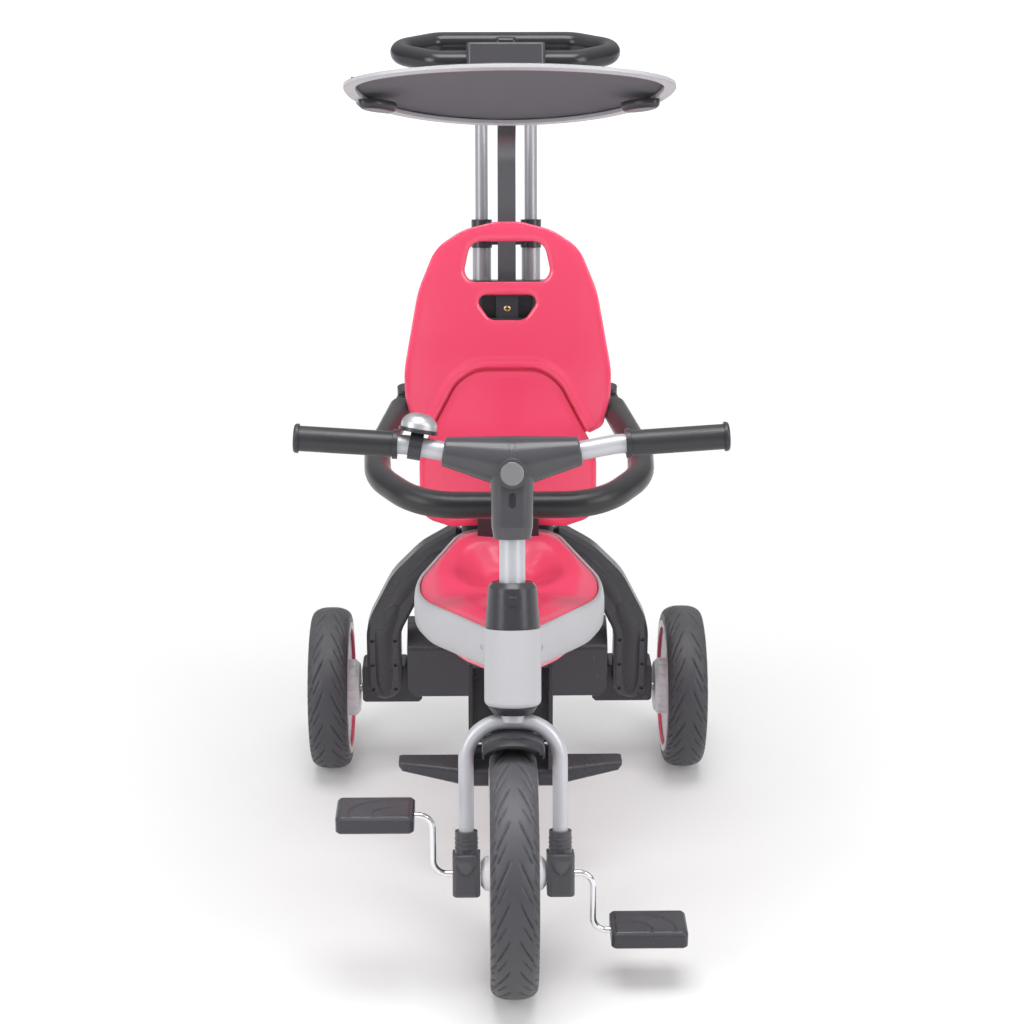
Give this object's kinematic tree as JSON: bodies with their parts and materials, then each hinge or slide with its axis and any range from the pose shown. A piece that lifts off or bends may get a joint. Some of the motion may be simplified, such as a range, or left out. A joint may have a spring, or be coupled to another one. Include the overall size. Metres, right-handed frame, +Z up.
{
  "type": "children's push tricycle",
  "caption": "Child's pedal tricycle with a moulded seat and split back, padded guard ring, telescopic push bar and a small oval sun canopy on a mast.",
  "frame": {"origin": "on the ground under the middle of the bounding box", "axes": "+Z up, +Y towards the push bar at the rear, +X to the left of a viewer behind it, the front wheel towards -Y; left and right in names are as seen from the front"},
  "size_m": [0.485, 0.8282, 0.9193],
  "materials": {
    "red_plastic": "satin moulded",
    "pale_grey_plastic": "fine grain",
    "black_plastic": "fine grain",
    "gloss_black_plastic": "polished",
    "tread_rubber": "matte",
    "grip_rubber": "matte",
    "guard_foam": "soft matte",
    "silver_tube": "silver paint",
    "bright_steel": "polished",
    "plain_steel": "satin",
    "canopy_fabric": "woven"
  },
  "bodies": {
    "frame": {"main_beam": "silver_tube", "head_tube": "silver_tube", "head_sleeve": "pale_grey_plastic", "lower_cup": "black_plastic", "upper_collar": "black_plastic", "head_bushes": "black_plastic", "footrest_post": "black_plastic", "rear_axle_housing": "black_plastic", "rear_axle": "plain_steel", "left_foot_block": "black_plastic", "right_foot_block": "black_plastic", "left_leg": "black_plastic", "right_leg": "black_plastic", "seat_pan": "red_plastic", "seat_band": "pale_grey_plastic", "seat_underside": "red_plastic", "seat_block": "black_plastic", "lower_back_panel": "red_plastic", "upper_back_panel": "red_plastic", "back_bracket": "black_plastic", "tube_socket": "black_plastic", "outer_tubes": "silver_tube", "tube_clamp": "black_plastic", "canopy_mast": "silver_tube", "canopy_yoke": "black_plastic", "guard_hinges": "black_plastic"},
    "steering": {"fork_hoop": "silver_tube", "steering_stem": "silver_tube", "left_axle_bracket": "black_plastic", "right_axle_bracket": "black_plastic", "axle_bushes": "black_plastic", "fender": "black_plastic", "handlebar": "silver_tube", "cover_front": "black_plastic", "cover_rear": "black_plastic", "badge_disc": "plain_steel", "left_grip": "grip_rubber", "right_grip": "grip_rubber", "bell_base": "black_plastic", "bell_dome": "bright_steel"},
    "bell_thumb_lever": {"bell_lever": "black_plastic"},
    "front_wheel": {"front_tyre": "tread_rubber", "front_rim": "pale_grey_plastic", "crank_rod": "bright_steel"},
    "left_pedal_block": {"left_pedal": "black_plastic"},
    "right_pedal_block": {"right_pedal": "black_plastic"},
    "left_rear_wheel": {"left_rear_tyre": "tread_rubber", "left_rear_rim": "pale_grey_plastic"},
    "right_rear_wheel": {"right_rear_tyre": "tread_rubber", "right_rear_rim": "pale_grey_plastic"},
    "push_bar": {"inner_tubes": "silver_tube", "push_handle": "gloss_black_plastic", "handle_connector": "black_plastic"},
    "push_button": {"handle_button": "gloss_black_plastic"},
    "canopy": {"canopy_rim": "pale_grey_plastic", "canopy_cloth": "canopy_fabric", "canopy_clips": "black_plastic"},
    "folding_footrest": {"footrest": "black_plastic"},
    "left_guard": {"left_guard_arm": "guard_foam"},
    "right_guard": {"right_guard_arm": "guard_foam"}
  },
  "joints": [
    {"name": "steering_turn", "type": "hinge", "parent": "frame", "child": "steering", "pos_m": [0, -0.28917, 0.125], "axis": [0, 0.2588, 0.9659], "range_deg": [-30, 30]},
    {"name": "front_wheel_spin", "type": "hinge", "parent": "steering", "child": "front_wheel", "pos_m": [0, -0.28917, 0.125], "axis": [1, 0, 0], "continuous": true},
    {"name": "left_pedal_spin", "type": "hinge", "parent": "front_wheel", "child": "left_pedal_block", "pos_m": [-0.138, -0.28917, 0.191], "axis": [1, 0, 0], "continuous": true},
    {"name": "right_pedal_spin", "type": "hinge", "parent": "front_wheel", "child": "right_pedal_block", "pos_m": [0.138, -0.28917, 0.059], "axis": [1, 0, 0], "continuous": true},
    {"name": "left_rear_wheel_spin", "type": "hinge", "parent": "frame", "child": "left_rear_wheel", "pos_m": [-0.218, 0.23083, 0.1], "axis": [1, 0, 0], "continuous": true},
    {"name": "right_rear_wheel_spin", "type": "hinge", "parent": "frame", "child": "right_rear_wheel", "pos_m": [0.218, 0.23083, 0.1], "axis": [1, 0, 0], "continuous": true},
    {"name": "bell_lever_press", "type": "hinge", "parent": "steering", "child": "bell_thumb_lever", "pos_m": [-0.096, -0.17722, 0.5428], "axis": [0.1797, 0.2546, 0.9502], "range_deg": [0, 25], "stiffness_Nm_per_rad": 0.05, "springref_deg": -5.73},
    {"name": "push_bar_slide", "type": "slide", "parent": "frame", "child": "push_bar", "axis": [0, 0.2079, 0.9781], "range_m": [-0.11, 0]},
    {"name": "handle_button_press", "type": "slide", "parent": "push_bar", "child": "push_button", "axis": [0, -0.2079, -0.9781], "range_m": [0, 0.004], "stiffness_N_per_m": 400, "springref_m": -0.003},
    {"name": "canopy_tilt", "type": "hinge", "parent": "frame", "child": "canopy", "pos_m": [0, 0.02525, 0.87371], "axis": [1, 0, 0], "range_deg": [-10, 30]},
    {"name": "footrest_fold", "type": "hinge", "parent": "frame", "child": "folding_footrest", "pos_m": [0, -0.04917, 0.147], "axis": [1, 0, 0], "range_deg": [0, 80]},
    {"name": "left_guard_swing", "type": "hinge", "parent": "frame", "child": "left_guard", "pos_m": [-0.1175, 0.19483, 0.4852], "axis": [0, -0.1478, 0.989], "range_deg": [-75, 0]},
    {"name": "right_guard_swing", "type": "hinge", "parent": "frame", "child": "right_guard", "pos_m": [0.1175, 0.19483, 0.4852], "axis": [0, -0.1478, 0.989], "range_deg": [0, 75]}
  ]
}
